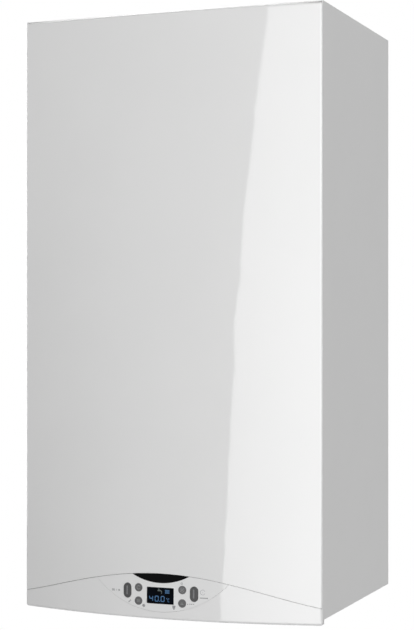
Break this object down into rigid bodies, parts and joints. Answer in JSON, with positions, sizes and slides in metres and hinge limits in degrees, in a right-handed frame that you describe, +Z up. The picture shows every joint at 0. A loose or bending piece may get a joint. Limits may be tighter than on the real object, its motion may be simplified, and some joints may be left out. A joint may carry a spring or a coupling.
{
  "type": "combi boiler",
  "caption": "Wall-hung gas combi boiler with a bowed white front cover, a hinged control tray with keys and a display, and its heating and hot-water works inside.",
  "frame": {"origin": "middle of the wall bracket's screw line, on the wall plane", "axes": "+X to the viewer's right, +Y into the wall, +Z up; the front faces -Y"},
  "size_m": [0.4, 0.3309, 0.783],
  "materials": {
    "white_enamel": "gloss white baked enamel on sheet steel",
    "white_moulding": "gloss white moulded plastic",
    "badge_black": "polished black plastic",
    "display_dark": "smoked clear plastic over a dark display",
    "key_grey": "soft-touch dark grey plastic",
    "galvanised": "galvanised sheet steel",
    "seal_foam": "closed-cell black foam",
    "grommet_rubber": "black rubber",
    "board_green": "green circuit board with solder mask",
    "tray_grey": "grey flame-retardant plastic",
    "vessel_red": "red sprayed enamel",
    "copper": "drawn copper tube",
    "brass": "turned brass",
    "stainless": "stainless steel",
    "composite_black": "glass-filled black plastic",
    "cast_aluminium": "sand-blasted die-cast aluminium",
    "motor_paint": "black sprayed motor paint",
    "ceramic": "glazed white ceramic",
    "flue_white": "white polypropylene",
    "trap_grey": "pale grey polypropylene",
    "impeller_black": "black moulded plastic",
    "knob_red": "red moulded plastic",
    "knob_blue": "blue moulded plastic",
    "rotor_white": "white moulded plastic"
  },
  "bodies": {
    "casing": {"left_side_panel": "white_enamel", "right_side_panel": "white_enamel", "top_panel": "white_enamel", "wall_bracket": "galvanised", "back_frame": "galvanised", "chamber_floor": "galvanised", "tray_hinges": "galvanised", "casing_screws": "galvanised", "door_nuts": "galvanised", "front_seal": "seal_foam", "floor_grommets": "grommet_rubber", "condensate_hose": "grommet_rubber", "air_intake_silencer": "tray_grey", "expansion_vessel": "vessel_red", "exchanger_pipes": "copper", "vessel_pipe": "copper", "gas_inlet_pipe": "copper", "connection_tails": "brass", "filling_tap": "brass", "safety_valve": "brass", "air_vent": "brass", "exchanger_coil": "stainless", "burner_tube": "stainless", "plate_exchanger": "stainless", "exchanger_shell": "composite_black", "flow_manifold": "composite_black", "return_manifold": "composite_black", "diverter_motor": "composite_black", "burner_door": "cast_aluminium", "fan_housing": "cast_aluminium", "mixture_duct": "cast_aluminium", "air_gas_mixer": "cast_aluminium", "gas_valve": "cast_aluminium", "fan_motor": "motor_paint", "pump_motor": "motor_paint", "ignition_electrode": "ceramic", "flue_duct": "flue_white", "flue_collar": "flue_white", "condensate_trap": "trap_grey"},
    "control_tray": {"control_fascia": "white_moulding", "control_island": "white_moulding", "badge_insert": "badge_black", "display_window": "display_dark", "display_board": "board_green", "tray_housing": "tray_grey", "tray_lid": "tray_grey", "main_board": "board_green"},
    "front_cover": {"front_cover": "white_enamel"},
    "fan_wheel": {"fan_impeller": "impeller_black"},
    "pump_wheel": {"pump_impeller": "impeller_black"},
    "diverter": {"diverter_spindle": "impeller_black"},
    "safety_knob": {"safety_knob": "knob_red"},
    "filling_knob": {"filling_knob": "knob_blue"},
    "flow_rotor": {"flow_rotor": "rotor_white"},
    "heating_rocker": {"heating_rocker": "key_grey"},
    "hot_water_rocker": {"hot_water_rocker": "key_grey"},
    "upper_left_button": {"upper_left_button": "key_grey"},
    "lower_left_button": {"lower_left_button": "key_grey"},
    "upper_right_button": {"upper_right_button": "key_grey"},
    "lower_right_button": {"lower_right_button": "key_grey"}
  },
  "joints": [
    {"name": "cover_slide", "type": "slide", "parent": "casing", "child": "front_cover", "axis": [0, -1, 0], "range_m": [0, 0.45]},
    {"name": "tray_hinge", "type": "hinge", "parent": "casing", "child": "control_tray", "pos_m": [0, -0.176, -0.68], "axis": [1, 0, 0], "range_deg": [0, 85]},
    {"name": "fan_spin", "type": "hinge", "parent": "casing", "child": "fan_wheel", "pos_m": [0.124, -0.23, -0.355], "axis": [0, 1, 0], "continuous": true},
    {"name": "pump_spin", "type": "hinge", "parent": "casing", "child": "pump_wheel", "pos_m": [0.112, -0.15, -0.572], "axis": [0, 1, 0], "continuous": true},
    {"name": "diverter_slide", "type": "slide", "parent": "casing", "child": "diverter", "axis": [0, 1, 0], "range_m": [0, 0.008]},
    {"name": "safety_knob_turn", "type": "hinge", "parent": "casing", "child": "safety_knob", "pos_m": [-0.138, -0.17, -0.586], "axis": [0, 1, 0], "range_deg": [0, 90]},
    {"name": "filling_knob_turn", "type": "hinge", "parent": "casing", "child": "filling_knob", "pos_m": [0.1005, -0.095, -0.684], "axis": [0, 0, 1], "range_deg": [0, 540]},
    {"name": "flow_rotor_spin", "type": "hinge", "parent": "casing", "child": "flow_rotor", "pos_m": [0.067, -0.095, -0.65], "axis": [0, 0, 1], "continuous": true},
    {"name": "heating_rocker_tilt", "type": "hinge", "parent": "control_tray", "child": "heating_rocker", "pos_m": [-0.0445, -0.32221, -0.6634], "axis": [1, 0, 0], "range_deg": [-4, 4], "stiffness_Nm_per_rad": 0.05},
    {"name": "hot_water_rocker_tilt", "type": "hinge", "parent": "control_tray", "child": "hot_water_rocker", "pos_m": [0.0445, -0.32221, -0.6634], "axis": [1, 0, 0], "range_deg": [-4, 4], "stiffness_Nm_per_rad": 0.05},
    {"name": "upper_left_button_press", "type": "slide", "parent": "control_tray", "child": "upper_left_button", "axis": [0, 1, 0], "range_m": [0, 0.0012], "stiffness_N_per_m": 600, "springref_m": -0.001},
    {"name": "lower_left_button_press", "type": "slide", "parent": "control_tray", "child": "lower_left_button", "axis": [0, 1, 0], "range_m": [0, 0.0012], "stiffness_N_per_m": 600, "springref_m": -0.001},
    {"name": "upper_right_button_press", "type": "slide", "parent": "control_tray", "child": "upper_right_button", "axis": [0, 1, 0], "range_m": [0, 0.0012], "stiffness_N_per_m": 600, "springref_m": -0.001},
    {"name": "lower_right_button_press", "type": "slide", "parent": "control_tray", "child": "lower_right_button", "axis": [0, 1, 0], "range_m": [0, 0.0012], "stiffness_N_per_m": 600, "springref_m": -0.001}
  ]
}
